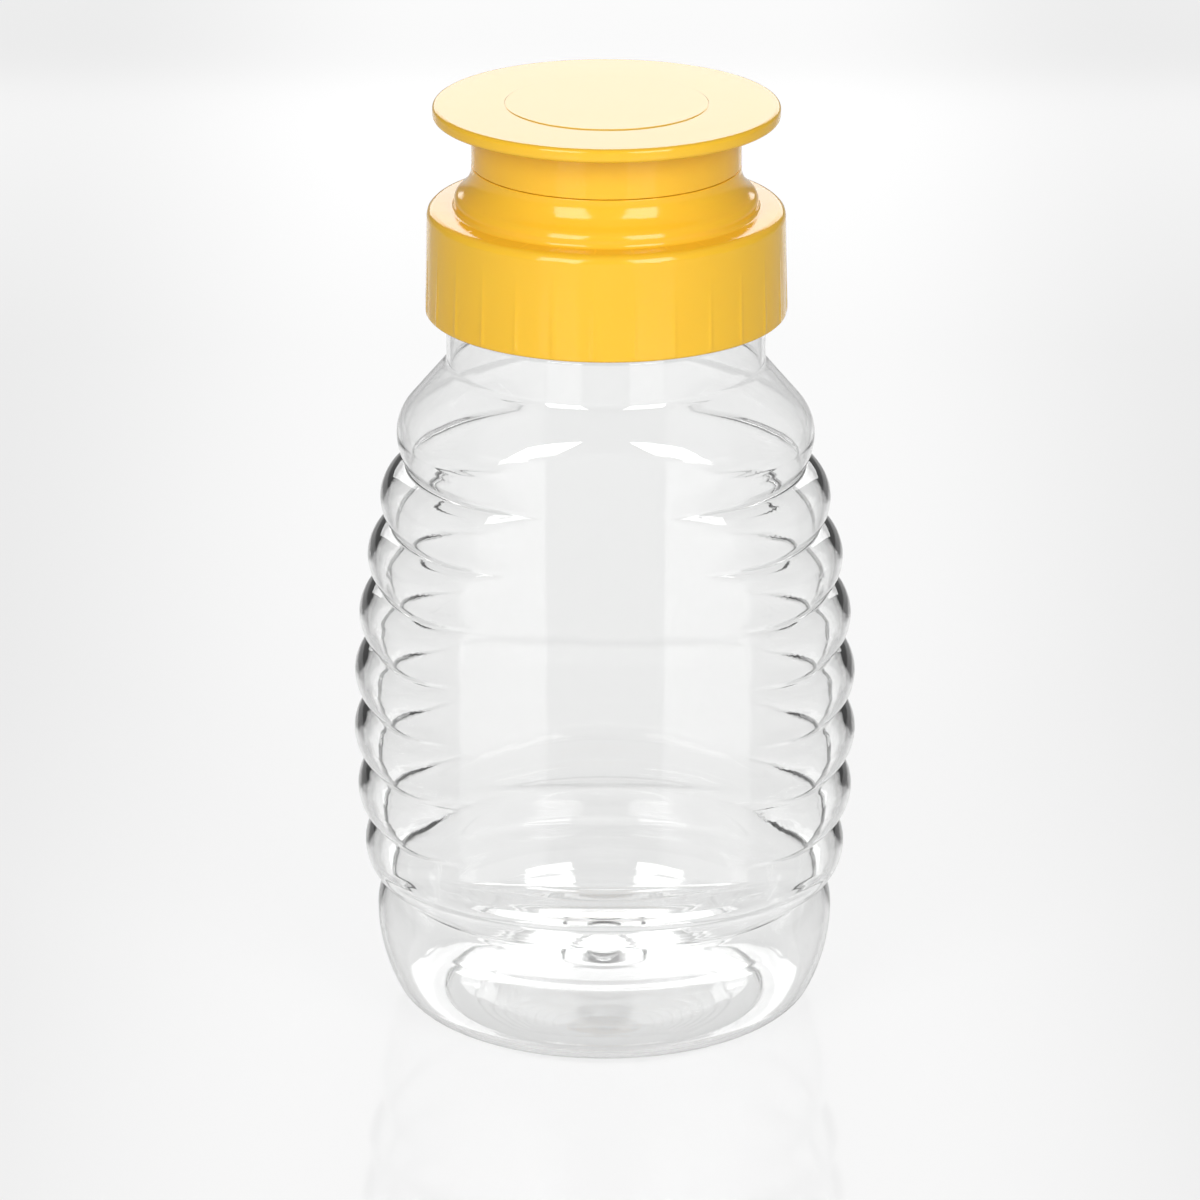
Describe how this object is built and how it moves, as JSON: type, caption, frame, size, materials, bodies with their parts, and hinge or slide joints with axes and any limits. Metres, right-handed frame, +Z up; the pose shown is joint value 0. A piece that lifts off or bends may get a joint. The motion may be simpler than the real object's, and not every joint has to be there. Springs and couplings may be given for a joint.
{
  "type": "honey dispenser bottle",
  "caption": "Clear ribbed barrel-shaped squeeze bottle with recessed label panels and a yellow screw cap with a bell tower, a slit valve and a wide disc flip lid.",
  "frame": {"origin": "centre of the base on the ground, on the bottle's axis", "axes": "+Z up along the bottle's axis, -Y towards the front label panel, hinge at +Y, X across"},
  "size_m": [0.073, 0.0696, 0.1354],
  "materials": {
    "clear_pet": "crystal-clear blown plastic, glossy",
    "foam_liner": "fine white foam sheet",
    "yellow_cap": "moulded warm yellow plastic, satin gloss",
    "silicone": "translucent milky silicone",
    "natural_plastic": "natural white moulded plastic",
    "yellow_hinge": "same yellow plastic, thin and slightly lighter"
  },
  "bodies": {
    "bottle": {"bottle": "clear_pet"},
    "liner": {"seal_liner": "foam_liner"},
    "cap": {"screw_cap": "yellow_cap", "silicone_valve": "silicone", "valve_retainer": "natural_plastic", "hinge_web": "yellow_hinge", "hinge_strap_left": "yellow_hinge", "hinge_strap_right": "yellow_hinge"},
    "lid": {"flip_lid": "yellow_cap"}
  },
  "joints": [
    {"name": "cap_lift", "type": "slide", "parent": "bottle", "child": "liner", "axis": [0, 0, 1], "range_m": [0, 0.00529]},
    {"name": "cap_turn", "type": "hinge", "parent": "liner", "child": "cap", "pos_m": [0, 0, 0.112], "axis": [0, 0, 1], "range_deg": [0, 450]},
    {"name": "lid_open", "type": "hinge", "parent": "cap", "child": "lid", "pos_m": [0, 0.01972, 0.1265], "axis": [-1, 0, 0], "range_deg": [0, 103], "deforming": ["hinge_web", "hinge_strap_left", "hinge_strap_right"]}
  ],
  "couplings": [
    {"joint": "cap_lift", "follows": "cap_turn", "m_per_rad": 0.0006737}
  ]
}
